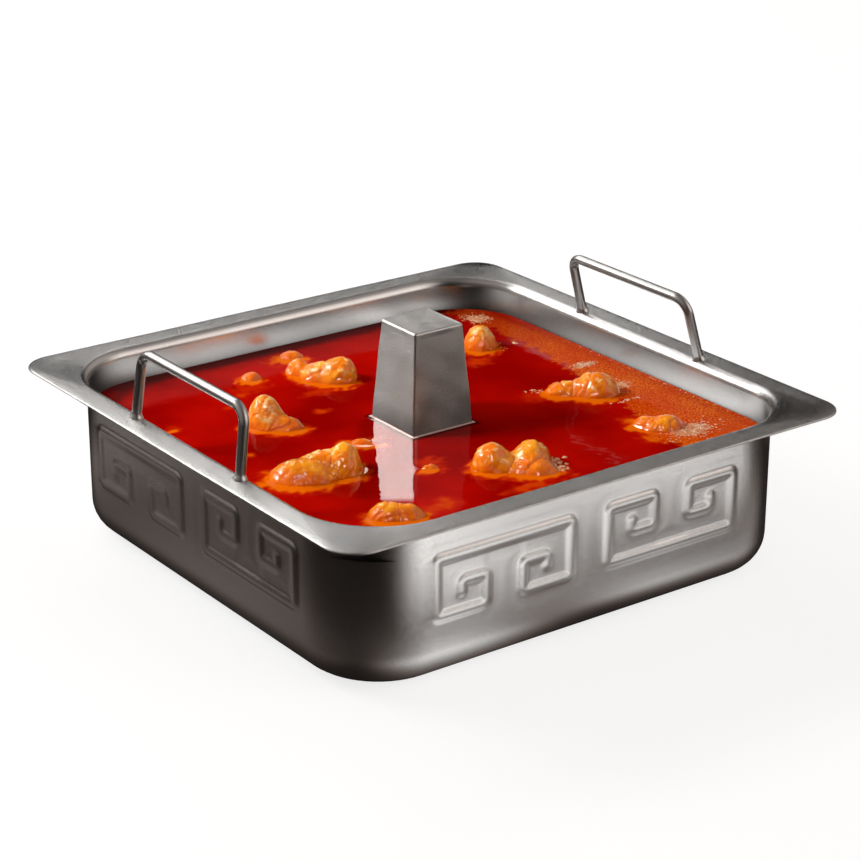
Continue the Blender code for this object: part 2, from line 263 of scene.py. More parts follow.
def mirrored_only(name, level, reach, glow, patches):
    """A sheet that nothing but a mirror shows: a dim glow, plus patches that fade by the
    bell curve exp(-(x/reach)**2 / 2) each way from their middle."""
    sheet = flat_sheet(name, level, reach)
    paint, mix = new_finish(name)
    place = mix.node("TexCoord", {}, {}, "Object")
    x, y = (mix.node("SeparateXYZ", {}, {"Vector": place}, axis) for axis in "XY")
    shine = glow
    for middle_x, middle_y, reach_x, reach_y, bright in patches:
        across = (x - middle_x / 1000) / (reach_x / 1000)
        ahead = (y - middle_y / 1000) / (reach_y / 1000)
        fade = ((across * across + ahead * ahead) * -0.5).math("EXPONENT")
        shine = fade * bright + shine
    tint = mix.blend((shine * TINT_GAIN).clip(), DIM_TINT, LAMP_COLOUR)
    lit = mix.node("Emission", {}, {"Color": tint, "Strength": shine})
    mix.node("OutputMaterial", {}, {"Surface": lit})
    sheet.data.materials.append(paint)
    sheet.visible_camera = False
    sheet.visible_diffuse = False
    sheet.visible_shadow = False


mirrored_only("board", -BOARD_DEPTH, FLOOR_REACH, BOARD_GLOW, BOARD_PATCHES)
# A glowing sheet at the broth's level that only the steel mirrors: a painted reflection of the
# broth's sheen.
mirrored_only("sheen", SHEEN_LEVEL, SHEEN_HALF, 0.0, SHEEN_PATCHES)

floor = flat_sheet("floor", 0.0, FLOOR_REACH)
paper, mix = new_finish("floor_paper")
sheet = mix.node("BsdfPrincipled", {}, {
    "Base Color": (*FLOOR_COLOUR, 1.0),
    "Roughness": 0.9,
    "Specular IOR Level": 0.1,
    "Emission Color": WHITE,
    "Emission Strength": FLOOR_GLOW,
})
mix.node("OutputMaterial", {}, {"Surface": sheet})
floor.data.materials.append(paper)
floor.visible_glossy = False
floor.visible_diffuse = False

# ---------------------------------------------------------------------------------------
# The pot: one sheet of 1.5 mm stainless steel, deep drawn to a square bowl with a wide
# flat rim. The fret is pressed out of its walls, and the whole is brushed along its sides.
# ---------------------------------------------------------------------------------------
RIM_HALF = 0.180
RIM_CORNER = 0.020
HEIGHT = 0.101
WALL_HALF = 0.162
WALL_CORNER = 0.050
SHEET = 0.0015
MOUTH_FILLET = 0.006
BASE_FILLET = 0.020
FRET_HALF_LENGTH = 0.0467
FRET_HALF_HEIGHT = 0.0172
FRET_SPIRAL = 0.034
FRET_INNER_BAR = 0.017
FRET_INNER_RISE = 0.001
FRET_TAIL = 0.0065
FRET_BEND = 0.003
FRET_LEVEL = HEIGHT - 0.0435
FRET_SHIFT = -0.0025
FRET_SPACING = 0.120
FRET_MARGIN = 0.007
RIDGE_HALF_WIDTH = 0.0043
RIDGE_HEIGHT = 0.0011
RIDGE_ROUNDING = 1.4
WEB_HEIGHT = 0.0002
WEB_FADE = 0.006
# The dip that pressing leaves beside a ridge: its depth, middle and reach.
DIP_DEPTH = 0.0001
DIP_MIDDLE = RIDGE_HALF_WIDTH + 0.0035
DIP_REACH = 0.003
# Waves in the sheet: their spacing on the walls and on the rim, and their height.
WALL_WAVE_SPACING, RIM_WAVE_SPACING = 0.05, 0.12
SHEET_WAVES = 0.00008
RIM_SAG = 0.00012
FRET_ROWS = 56
# How many rows of the wall, next to its mouth, the fret's press leaves as they were.
PLAIN_ROWS = 7
SIDE_COLUMNS = 200
CORNER_COLUMNS = 14


def square_rings(half, corner, z, sides, bends):
    """Points of round-cornered squares, one row for each half width, corner radius and
    height. Along a side the place is (half - corner) * f, with f from -1 to 1, and the
    distance out is half; round a corner both add the corner radius' cosine and sine."""
    half, corner, z = (np.asarray(a, float)[:, None] for a in (half, corner, z))
    side = np.linspace(-1, 1, sides + 1)
    turn = np.linspace(0, np.pi / 2, bends + 1)[1:-1]
    f = np.concatenate([side, np.ones(turn.size)])
    angle = np.concatenate([np.zeros(side.size), turn])
    out = (half - corner) + corner * np.cos(angle)
    along = (half - corner) * f + corner * np.sin(angle)
    height = np.broadcast_to(z, out.shape)
    walls = [(out, along), (-along, out), (-out, -along), (along, -out)]
    rows = [np.stack([x, y, height], -1) for x, y in walls]
    return np.concatenate(rows, 1)


def grid_mesh(name, points, uv, low_pole, high_pole):
    """A closed skin on rows of points that run round in rings: quads between the rows, and
    a fan of triangles to each pole. uv has one column more than the points, for the seam.
    The winding is turned round where the enclosed volume comes out negative."""
    rows, columns = points.shape[:2]
    i, j = np.meshgrid(np.arange(rows - 1), np.arange(columns), indexing="ij")
    places = [(i, j), (i, j + 1), (i + 1, j + 1), (i + 1, j)]
    faces = [np.stack([a * columns + b % columns for a, b in places], -1).reshape(-1, 4)]
    maps = [np.stack([uv[a, b] for a, b in places], 2).reshape(-1, 4, 2)]
    verts = np.concatenate([points.reshape(-1, 3), [low_pole, high_pole]])
    j = np.arange(columns)
    for row, tip, way in ((0, rows * columns, 1), (rows - 1, rows * columns + 1, -1)):
        here, beside = row * columns + j, row * columns + (j + 1) % columns
        faces.append(np.stack([np.full(columns, tip), beside, here], -1)[:, ::way])
        maps.append(np.stack([uv[row, j], uv[row, j + 1], uv[row, j]], 1)[:, ::way])
    thirds = [f[:, [0, k, k + 1]] for f in faces for k in range(1, f.shape[1] - 1)]
    a, b, c = verts[np.concatenate(thirds)].transpose(1, 0, 2)
    if (a * np.cross(b, c)).sum() < 0:
        faces = [f[:, ::-1] for f in faces]
        maps = [m[:, ::-1] for m in maps]
    mesh = bpy.data.meshes.new(name)
    mesh.vertices.add(len(verts))
    mesh.vertices.foreach_set("co", verts.ravel().astype(np.float32))
    counts = np.concatenate([np.full(len(f), f.shape[1]) for f in faces])
    loops = np.concatenate([f.ravel() for f in faces])
    mesh.loops.add(loops.size)
    mesh.loops.foreach_set("vertex_index", loops.astype(np.int32))
    mesh.polygons.add(counts.size)
    starts = np.concatenate([[0], np.cumsum(counts)[:-1]])
    mesh.polygons.foreach_set("loop_start", starts.astype(np.int32))
    mesh.update(calc_edges=True)
    layer = mesh.uv_layers.new(name="surface")
    corner_uv = np.concatenate([m.reshape(-1, 2) for m in maps])
    layer.data.foreach_set("uv", corner_uv.ravel().astype(np.float32))
    mesh.shade_smooth()
    mesh.validate()
    return mesh


def arc_lengths(points, axis):
    """Running length along one direction of a grid, in metres."""
    step = np.linalg.norm(np.diff(points, axis=axis), axis=-1)
    start = np.zeros_like(np.take(step, [0], axis=axis))
    return np.concatenate([start, np.cumsum(step, axis=axis)], axis=axis)


def round_path(points, radius, steps):
    """A polyline in 2D or 3D with each corner turned into an arc of the given radius: the
    arc's ends lie radius / tan(half angle) from the corner, and its points are blended
    round the arc's centre by sines."""
    path = [points[0]]
    for before, corner, after in zip(points, points[1:], points[2:]):
        back = (before - corner) / np.linalg.norm(before - corner)
        ahead = (after - corner) / np.linalg.norm(after - corner)
        half_angle = math.acos(np.clip(back @ ahead, -1, 1)) / 2
        reach = radius / math.tan(half_angle)
        middle = back + ahead
        centre = corner + middle / np.linalg.norm(middle) * (radius / math.sin(half_angle))
        first, last = corner + back * reach - centre, corner + ahead * reach - centre
        sweep = math.pi - 2 * half_angle
        t = np.linspace(0, 1, steps + 1)[:, None]
        arc = (first * np.sin((1 - t) * sweep) + last * np.sin(t * sweep)) / math.sin(sweep)
        path.extend(centre + arc)
    path.append(points[-1])
    return np.array(path)


def fret_path(sign):
    """The middle line of one meander motif, as points (along, up): a long bar, and a square
    spiral turning inward at each end. sign is 1 with the bar above, -1 below."""
    bar, inner = FRET_HALF_HEIGHT * sign, FRET_INNER_RISE * sign
    turn_in = FRET_HALF_LENGTH - FRET_SPIRAL
    tail = turn_in + FRET_INNER_BAR
    half = [(tail, inner - FRET_TAIL * sign), (tail, inner), (turn_in, inner)]
    half += [(turn_in, -bar), (FRET_HALF_LENGTH, -bar), (FRET_HALF_LENGTH, bar)]
    middle = FRET_SHIFT - sign * FRET_SPACING / 2
    line = [(middle - s, z) for s, z in half] + [(middle + s, z) for s, z in reversed(half)]
    return round_path(np.array(line) + (0, FRET_LEVEL), FRET_BEND, 6)


def distance_to_path(along, up, path):
    """Shortest distance from each grid point to a polyline."""
    nearest = np.full(along.shape, np.inf)
    for (ax, ay), (bx, by) in zip(path, path[1:]):
        dx, dy = bx - ax, by - ay
        share = ((along - ax) * dx + (up - ay) * dy) / max(dx * dx + dy * dy, 1e-12)
        share = np.clip(share, 0, 1)
        nearest = np.minimum(nearest, np.hypot(along - ax - share * dx, up - ay - share * dy))
    return nearest


def ripple(points, wavelength, seed, waves=14):
    """Soft unevenness between -1 and 1 or so: a sum of plane waves that run in random
    directions, with lengths about the given one."""
    rng = np.random.RandomState(seed)
    total = np.zeros(points.shape[:-1])
    for _ in range(waves):
        way = rng.normal(size=points.shape[-1])
        way *= 2 * np.pi / wavelength * rng.uniform(0.6, 1.5) / np.linalg.norm(way)
        total = total + np.sin(points @ way + rng.uniform(0, 2 * np.pi))
    return total / math.sqrt(waves)


def quarter(steps):
    """Angles from 0 to 90 degrees."""
    return np.linspace(0, np.pi / 2, steps + 1)


def pot_profile():
    """Rows of half width, corner radius and height, from the middle of the base out and up
    the outside, over the rim and down the inside to the middle of the floor."""
    rows = []

    def add(half, corner, z):
        """Rows of one stretch. A number given alone is the same in each of them."""
        rows.extend(np.stack(np.broadcast_arrays(*np.atleast_1d(half, corner, z)), -1))

    a = quarter(9)
    flat, flat_corner = WALL_HALF - BASE_FILLET, WALL_CORNER - BASE_FILLET
    share = np.array([0.02, 0.3, 0.7])
    add(share * flat, share * flat_corner, 0.0)
    inset, rise = BASE_FILLET * (1 - np.sin(a)), BASE_FILLET * (1 - np.cos(a))
    add(WALL_HALF - inset, WALL_CORNER - inset, rise)
    fret_reach = FRET_HALF_HEIGHT + RIDGE_HALF_WIDTH + FRET_MARGIN
    low, high = FRET_LEVEL - fret_reach, FRET_LEVEL + fret_reach
    bend = MOUTH_FILLET - SHEET
    add(WALL_HALF, WALL_CORNER, np.linspace(BASE_FILLET, low, 5)[1:-1])
    add(WALL_HALF, WALL_CORNER, np.linspace(low, high, FRET_ROWS))
    add(WALL_HALF, WALL_CORNER, np.linspace(high, HEIGHT - SHEET - bend, 5)[1:-1])
    a = quarter(6)
    out = bend * (1 - np.cos(a))
    add(WALL_HALF + out, WALL_CORNER + out, HEIGHT - SHEET - bend * (1 - np.sin(a)))
    edge = SHEET / 2
    a = np.linspace(-np.pi / 2, np.pi / 2, 7)
    out = edge * np.cos(a)
    add(RIM_HALF - edge + out, RIM_CORNER - edge + out, HEIGHT - edge + edge * np.sin(a))
    wall, corner = WALL_HALF - SHEET, WALL_CORNER - SHEET
    a = quarter(9)[::-1]
    out = MOUTH_FILLET * (1 - np.cos(a))
    start = np.array([RIM_HALF - edge, RIM_CORNER - edge])
    end = np.array([wall + out[0], corner + out[0]])
    for share in (0.33, 0.67):
        half, bend_radius = start + (end - start) * share
        add(half, bend_radius, HEIGHT)
    add(wall + out, corner + out, HEIGHT - MOUTH_FILLET * (1 - np.sin(a)))
    fillet = BASE_FILLET - SHEET
    add(wall, corner, np.linspace(HEIGHT - MOUTH_FILLET, BASE_FILLET, 7)[1:-1])
    a = quarter(6)[::-1]
    inset, rise = fillet * (1 - np.sin(a)), fillet * (1 - np.cos(a))
    add(wall - inset, corner - inset, SHEET + rise)
    share = np.array([0.5, 0.02])
    add(share * flat, share * flat_corner, SHEET)
    return np.array(rows).T


half, corner, z = pot_profile()
points = square_rings(half, corner, z, SIDE_COLUMNS, CORNER_COLUMNS)
columns = points.shape[1] // 4
wall_rows = np.flatnonzero(half == WALL_HALF)[:-PLAIN_ROWS]
side = points[wall_rows][:, :columns]
along, up = side[..., 1], side[..., 2]
away = np.minimum(*[distance_to_path(along, up, fret_path(sign)) for sign in (1, -1)])
ridge = RIDGE_HEIGHT * np.clip(1 - (away / RIDGE_HALF_WIDTH) ** 2, 0, 1) ** RIDGE_ROUNDING
# the web: the sheet inside each spiral is raised a little too
inside = np.zeros_like(away)
for sign in (1, -1):
    for end in (-1, 1):
        centre = FRET_SHIFT - sign * FRET_SPACING / 2 + end * (FRET_HALF_LENGTH - FRET_SPIRAL / 2)
        past_side = np.abs(along - centre) - FRET_SPIRAL / 2
        past_top = np.abs(up - FRET_LEVEL) - FRET_HALF_HEIGHT
        inside = np.maximum(inside, np.clip(0.5 - np.maximum(past_side, past_top) / WEB_FADE, 0, 1))
ridge = ridge + WEB_HEIGHT * inside * inside * (3 - 2 * inside) * (1 - ridge / RIDGE_HEIGHT)
dip = -DIP_DEPTH * np.exp(-((away - DIP_MIDDLE) / DIP_REACH) ** 2)
wall_height = HEIGHT - MOUTH_FILLET - BASE_FILLET
fade = np.sin(np.pi * np.clip((up - BASE_FILLET) / wall_height, 0, 1))
for number, way in enumerate([(1, 0), (0, 1), (-1, 0), (0, -1)]):
    part = slice(number * columns, (number + 1) * columns)
    uneven = ripple(points[wall_rows, part], WALL_WAVE_SPACING, 40 + number) * SHEET_WAVES
    push = ridge + (dip + uneven) * fade
    points[wall_rows, part] += push[..., None] * np.array([*way, 0.0])
rim_rows = (half > WALL_HALF + MOUTH_FILLET) & (z > HEIGHT - SHEET - 1e-6)
points[rim_rows, :, 2] += ripple(points[rim_rows], RIM_WAVE_SPACING, 3) * SHEET_WAVES - RIM_SAG

ring = np.concatenate([points, points[:, :1]], 1)
wall_ring = ring[wall_rows[len(wall_rows) // 2]]
u = np.broadcast_to(arc_lengths(wall_ring, 0), ring.shape[:2])
v = np.broadcast_to(arc_lengths(np.stack([half, z], -1), 0)[:, None], ring.shape[:2])
pot_mesh = grid_mesh("pot_shell", points, np.stack([u, v], -1), (0, 0, 0), (0, 0, SHEET))


def mark_points(mesh, name, values, others):
    """A named number on each point of a grid, and on the other points after it."""
    values = np.concatenate([values.ravel(), others]).astype(np.float32)
    mesh.attributes.new(name, "FLOAT", "POINT").data.foreach_set("value", values)


# flat: 1 on the rim and 0 on the walls. nook: 1 in the middle of the bowl's inner corners, where
# the steel is painted dark as shade.
flat = np.repeat(np.clip((half - WALL_HALF) / MOUTH_FILLET, 0, 1), points.shape[1])
bend = np.sin(2 * np.linspace(0, np.pi / 2, CORNER_COLUMNS + 1)[1:-1]) ** 2
bend = np.tile(np.concatenate([np.zeros(SIDE_COLUMNS + 1), bend]), 4)
within = (np.arange(half.size) > wall_rows[-1]) * np.clip((WALL_HALF - half) / SHEET, 0, 1)
mark_points(pot_mesh, "flat", flat, [0.0, 0.0])
mark_points(pot_mesh, "nook", within[:, None] * bend, [0.0, 0.0])


def brushed_steel(name, colour, roughness, along, across, depth, calm=1.0):
    """Brushed stainless steel: grey metal, scratched along the piece by noise that is long
    in u and short in v, with faint clouds in its shine. Where calm is below 1, the piece's
    walls are only that much scratched, and its nooks are painted dark as shade."""
    steel, mix = new_finish(name)
    surface = mix.node("UVMap", {"uv_map": "surface"}, {})
    scratches, streaks = (
        mix.node("TexNoise", {"noise_dimensions": "2D"}, {
            "Vector": mix.node("Mapping", {}, {"Vector": surface, "Scale": (long, short, 1.0)}),
            "Scale": 1.0, "Detail": detail, "Roughness": 0.6,
        }) - 0.5
        for long, short, detail in ((along, across, 0.0), (12.0, across * 0.1, 3.0))
    )
    place = mix.node("TexCoord", {}, {}, "Object")
    clouds, grain = (
        mix.node("TexNoise", {}, {"Vector": place, "Scale": scale, "Detail": detail}) - 0.5
        for scale, detail in ((22.0, 3.0), (1000.0, 2.0))
    )
    tone = streaks * 0.2 + scratches * 0.4 + grain * 0.7 + clouds * 0.2
    dark, light, painted_nook_shade = (tuple(c * share for c in colour) for share in (0.86, 1.14, 0.1))
    paint = mix.blend((tone + 0.5).clip(), dark, light)
    relief = scratches
    if calm < 1.0:
        flat, nook = (
            mix.node("Attribute", {"attribute_name": name}, {}, "Fac") for name in ("flat", "nook")
        )
        relief = scratches * (flat * (1 - calm) + calm)
        # painted shade: the steel is darkened in the bowl's inner corners
        paint = mix.blend(nook * 0.95, paint, painted_nook_shade)
    bump = mix.node("Bump", {}, {"Height": relief, "Strength": 1.0, "Distance": depth})
    shader = mix.node("BsdfPrincipled", {}, {
        "Base Color": paint,
        "Metallic": 1.0,
        "Roughness": streaks * 0.03 + clouds * 0.04 + roughness,
        "Normal": bump,
    })
    mix.node("OutputMaterial", {}, {"Surface": shader})
    return steel


pot_steel = brushed_steel(
    "pot_brushed_steel", (0.66, 0.65, 0.64), roughness=0.24, along=800.0, across=13000.0,
    depth=0.00006, calm=0.25,
)
pot_mesh.materials.append(pot_steel)
pot = bpy.data.objects.new("pot_shell", pot_mesh)
scene.collection.objects.link(pot)
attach(pot, "root")
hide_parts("pot")

# ---------------------------------------------------------------------------------------
# The handles: 6 mm polished rod bent to a U that leans in over the pot, each foot welded
# to the rim with a small bead.
# ---------------------------------------------------------------------------------------
ROD_RADIUS = 0.003
ROD_SIDES = 28
BEAD_RADIUS = 0.0013
BEAD_HEIGHT = 0.0024
HANDLE_FOOT_X = 0.1665
HANDLE_FOOT_SPREAD = 0.057
HANDLE_TOP_SPREAD = 0.0555
HANDLE_RISE = 0.0395
HANDLE_BEND = 0.010
FOOT_DEPTH = 0.0008
ROD_STEP = 0.0011
# Each handle: its side, how many degrees it leans in, and its shift along the rim.
HANDLES = {"left": (-1, 7.5, -0.001), "right": (1, 16.0, -0.0045)}


def rod_mesh(name, path, radii, sides):
    """A round rod along a flat path: rings of the given radii square to the path, closed
    by a pole at each end. u runs along the rod and v round it."""
    ahead = np.gradient(path, axis=0)
    ahead /= np.linalg.norm(ahead, axis=1)[:, None]
    flat = np.cross(path[-1] - path[0], path[len(path) // 2] - path[0])
    flat /= np.linalg.norm(flat)
    across = np.cross(flat, ahead)
    turn = np.linspace(0, 2 * np.pi, sides, endpoint=False)[None, :, None]
    round_it = np.cos(turn) * across[:, None] + np.sin(turn) * flat
    rings = path[:, None] + radii[:, None, None] * round_it
    u = np.broadcast_to(arc_lengths(path, 0)[:, None], (len(path), sides + 1))
    v = np.broadcast_to(np.linspace(0, 2 * np.pi * ROD_RADIUS, sides + 1), u.shape)
    return grid_mesh(name, rings, np.stack([u, v], -1), path[0], path[-1])


def spaced(path, gap):
    """The same line with points no further apart than the gap."""
    length = arc_lengths(path, 0)
    even = np.unique(np.concatenate([length, np.arange(0, length[-1], gap)]))
    even = even[np.concatenate([[True], np.diff(even) > 1e-6])]
    return np.stack([np.interp(even, length, path[:, k]) for k in range(3)], 1)


rod_steel = brushed_steel(
    "rod_satin_steel", (0.56, 0.55, 0.54), roughness=0.33, along=60.0, across=2500.0,
    depth=0.00001,
)
for name, (sign, lean, shift) in HANDLES.items():
    top_x = HANDLE_FOOT_X - HANDLE_RISE * math.tan(math.radians(lean))
    slope = (top_x - HANDLE_FOOT_X) / HANDLE_RISE
    spread = (HANDLE_TOP_SPREAD - HANDLE_FOOT_SPREAD) / HANDLE_RISE
    end = np.array([1, 1, -1, -1])
    rise = np.array([-FOOT_DEPTH, HANDLE_RISE, HANDLE_RISE, -FOOT_DEPTH])
    x = sign * (HANDLE_FOOT_X + slope * rise)
    y = end * (HANDLE_FOOT_SPREAD + spread * rise) + shift
    path = round_path(np.stack([x, y, HEIGHT + rise], -1), HANDLE_BEND, 12)
    path = spaced(path, ROD_STEP)
    rise = np.clip((path[:, 2] - HEIGHT) / BEAD_HEIGHT, 0, 1)
    radii = ROD_RADIUS + BEAD_RADIUS * (1 - rise) ** 1.6
    mesh = rod_mesh(f"handle_{name}_rod", path, radii, ROD_SIDES)
    mesh.materials.append(rod_steel)
    rod = bpy.data.objects.new(mesh.name, mesh)
    scene.collection.objects.link(rod)
    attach(rod, "root")
    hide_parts(f"handle_{name}")

# ---------------------------------------------------------------------------------------
# The tower: a square cap of steel with sloping sides, folded and welded at its edges and
# ground round. It stands in the middle of the pot, through the broth.
# ---------------------------------------------------------------------------------------
TOWER_TOP_HALF = 0.0176
TOWER_TOP = HEIGHT + 0.0414
TOWER_HALF_AT_BROTH = 0.0222
TOWER_EDGE = 0.0014
TOWER_FOOT = 0.0018
TOWER_MIDDLE = (-0.001, 0.0005)
TOWER_EDGE_STEPS = 6
# How far the middle of a side is drawn in and the top sags, and the waves in both:
# their spacing and height.
SIDE_DRAWN_IN, TOP_SAG, TIP_SAG = 0.00025, 0.00015, 0.0002
SIDE_WAVE_SPACING, SIDE_WAVES = 0.022, 0.00012
TOP_WAVE_SPACING, TOP_WAVES = 0.02, 0.0001
BROTH_LEVEL = HEIGHT - 0.022

slope = (TOWER_HALF_AT_BROTH - TOWER_TOP_HALF) / (TOWER_TOP - BROTH_LEVEL)
sunk = np.linspace(TOWER_FOOT, BROTH_LEVEL, 4)[:-1]
z = np.concatenate([sunk, np.linspace(BROTH_LEVEL, TOWER_TOP - TOWER_EDGE, 40)])
half = TOWER_TOP_HALF + slope * (TOWER_TOP - z)
a = quarter(TOWER_EDGE_STEPS)[1:]
half = np.concatenate([half, half[-1] - TOWER_EDGE * (1 - np.cos(a))])
z = np.concatenate([z, TOWER_TOP - TOWER_EDGE + TOWER_EDGE * np.sin(a)])
corner = np.full(half.size, TOWER_EDGE)
corner[-TOWER_EDGE_STEPS:] = TOWER_EDGE * (0.15 + 0.85 * np.cos(a))
inner = np.linspace(half[-1], 0.001, 14)[1:]
half = np.concatenate([half, inner])
corner = np.concatenate([corner, np.full(inner.size, 0.0002)])
z = np.concatenate([z, np.full(inner.size, TOWER_TOP)])
points = square_rings(half, corner, z, 36, 6)
radial = points[..., :2] / np.maximum(np.abs(points[..., :2]).max(-1, keepdims=True), 1e-6)
middle = np.clip(1 - (np.abs(points[..., :2]).min(-1) / half[:, None]) ** 2, 0, 1)
dent = ripple(points, SIDE_WAVE_SPACING, 9) * SIDE_WAVES - SIDE_DRAWN_IN * middle
points[..., :2] += radial * dent[..., None] * (z < TOWER_TOP - TOWER_EDGE)[:, None, None]
top = z >= TOWER_TOP - 1e-6
points[top, :, 2] += ripple(points[top], TOP_WAVE_SPACING, 5) * TOP_WAVES - TOP_SAG
points[..., :2] += TOWER_MIDDLE
ring = np.concatenate([points, points[:, :1]], 1)
u = arc_lengths(ring, 1)
v = np.broadcast_to(arc_lengths(np.stack([half, z], -1), 0)[:, None], u.shape)
tip = (*TOWER_MIDDLE, TOWER_TOP - TIP_SAG)
foot = (*TOWER_MIDDLE, TOWER_FOOT)
tower_mesh = grid_mesh("tower_cap", points, np.stack([u, v], -1), foot, tip)
tower_steel = brushed_steel(
    "tower_brushed_steel", (0.51, 0.49, 0.475), roughness=0.38, along=400.0, across=2600.0,
    depth=0.00006,
)
tower_mesh.materials.append(tower_steel)
tower = bpy.data.objects.new("tower_cap", tower_mesh)
scene.collection.objects.link(tower)
aimed_at["tower"].objects.link(tower)
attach(tower, "root")
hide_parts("tower")

# ---------------------------------------------------------------------------------------
# The meat: pieces of stewed meat and gristle, swollen and glazed with chilli oil, lying in
# the broth with their tops out of it. Each is one or more lobes grown together.
# ---------------------------------------------------------------------------------------
# Lobes in millimetres: place x and y, half length, half width, half height, and depth of
# the middle under the surface. The piece's turn about +Z is in degrees. A bone that shows
# its cut end has its middle's place, its height over the surface and its radius.
MEAT = {
    "meat_1": dict(
        turn=-36, bone=(-22.8, 113.3, 3.0, 3.3),
        lobes=[(-3.5, 88.5, 12, 11, 20, 6), (-12, 98, 11, 10, 16, 6), (-16, 113, 8, 8, 14, 5)],
    ),
    "meat_2": dict(turn=-36, lobes=[(-82, 49.5, 12, 11, 25, 6), (-75, 39, 13, 9, 13, 6)]),
    "meat_3": dict(turn=0, lobes=[(-47, 121, 8, 8, 11, 7)]),
    "meat_4": dict(turn=-36, lobes=[(-5, 140, 11, 8, 12, 8)]),
    "meat_5": dict(
        turn=-36,
        lobes=[(-83, -38, 11, 13, 24, 7), (-95, -32, 14, 12, 18, 6), (-111, -33, 20, 14, 17, 6)],
    ),
    "meat_6": dict(turn=-36, lobes=[(-103, -106, 11, 10, 15, 7), (-92, -113, 12, 9, 13, 7)]),
    "meat_7": dict(
        turn=-36,
        lobes=[(-11, -83, 12.5, 12, 21, 7), (11, -91, 13, 12, 20, 7), (4, -102, 17, 9, 12, 7)],
    ),
    "meat_8": dict(turn=-36, lobes=[(113, -24, 15, 13, 20, 7), (97, -13, 12, 9, 14, 7)]),
    "meat_9": dict(turn=-36, lobes=[(107, 85, 11.5, 12, 21.5, 7)]),
    "meat_10": dict(turn=-36, lobes=[(110, -94, 13, 10, 14, 8), (103, -85, 9, 8, 12, 7)]),
    "meat_11": dict(turn=-20, lobes=[(-42, -64, 8, 5, 9, 7)]),
    "meat_12": dict(turn=-36, lobes=[(-52, -8, 12, 7, 10, 8)]),
}
LOBE_BLEND = 2.4
REACH_STEPS = 90
REACH_FAR = 46.0
MEAT_BUMPS = 7
MEAT_BUMP_SIZE = 0.13
MEAT_BUMP_WIDTH = 0.12
MEAT_SMOOTHING = 3
MEAT_ROWS = 90
MEAT_COLUMNS = 130
SMALL_MEAT = 9.0
# Folds are the long valleys, wrinkles the short ones, joins those between two lobes:
# spacing, width as a share of the ripple's height, and depth in millimetres.
FOLD_SPACING, FOLD_WIDTH, FOLD_DEPTH = 22.0, 0.40, 1.0
WRINKLE_SPACING, WRINKLE_WIDTH, WRINKLE_DEPTH = 9.0, 0.50, 0.45
JOIN_SHARPNESS, JOIN_DEPTH = 2.2, 0.6
WARP_SPACING, WARP_REACH = 14.0, 1.5
# The coarse and the fine ripple that roughen the skin: spacing and height.
LUMP_SPACING, LUMP_HEIGHT = 7.5, 0.30
GRAIN_SPACING, GRAIN_HEIGHT = 3.2, 0.08
MEAT_SWELL = 0.4
FULL_DEPTH_SIZE = 14.0
# The cut end of a bone: the width and height of its raised edge, its depth, and how much
# of it is hollow.
BONE_EDGE_WIDTH, BONE_EDGE_HEIGHT = 1.1, 1.8
BONE_DEPTH, BONE_HOLLOW = 3.6, 0.62
MEAT_FLESH = ((0.84, 0.20, 0.002), (0.90, 0.34, 0.008))
MEAT_FAT_AND_HIGHLIGHT = (0.95, 0.66, 0.25)
MEAT_CREASE_SHADE = (0.62, 0.12, 0.001)
MEAT_SOAKED = (0.70, 0.13, 0.0008)


def turn_about(x, y, degrees):
    """Places turned about +Z by the angle."""
    spin = math.radians(degrees)
    return x * math.cos(spin) - y * math.sin(spin), x * math.sin(spin) + y * math.cos(spin)


def turned_lobes(piece):
    """The lobes of a piece in the frame that is turned with it."""
    lobes = np.array(piece["lobes"], float)
    lobes[:, 0], lobes[:, 1] = turn_about(lobes[:, 0], lobes[:, 1], -piece["turn"])
    return lobes


def lobe_pulls(points, lobes):
    """How far inside each lobe the points are: LOBE_BLEND * (1 - q**2), where q is the
    distance from the lobe's middle over its radius that way."""
    middles = np.stack([lobes[:, 0], lobes[:, 1], -lobes[:, 5]], -1)
    q = (points[..., None, :] - middles) / lobes[:, 2:5]
    return LOBE_BLEND * (1 - (q**2).sum(-1))


def blended_reach(unit, origin, lobes):
    """Distance from the origin to the skin along each direction: the furthest place where
    the sum of exp(pull) over the lobes comes down to 1."""
    along = np.linspace(0, REACH_FAR, REACH_STEPS)
    probes = origin + unit[..., None, :] * along[:, None]
    inside = np.log(np.exp(np.maximum(lobe_pulls(probes, lobes), -60)).sum(-1))
    last = REACH_STEPS - 2 - np.argmax(inside[..., -2::-1] > 0, -1)
    here = np.take_along_axis(inside, last[..., None], -1)[..., 0]
    next_one = np.take_along_axis(inside, last[..., None] + 1, -1)[..., 0]
    return (last + np.clip(here / (here - next_one), 0, 1)) * along[1]


def valleys(points, spacing, width, seed):
    """1 along the lines where a ripple changes sign, falling to 0 at the given width."""
    return np.clip(1 - np.abs(ripple(points, spacing, seed)) / width, 0, 1)


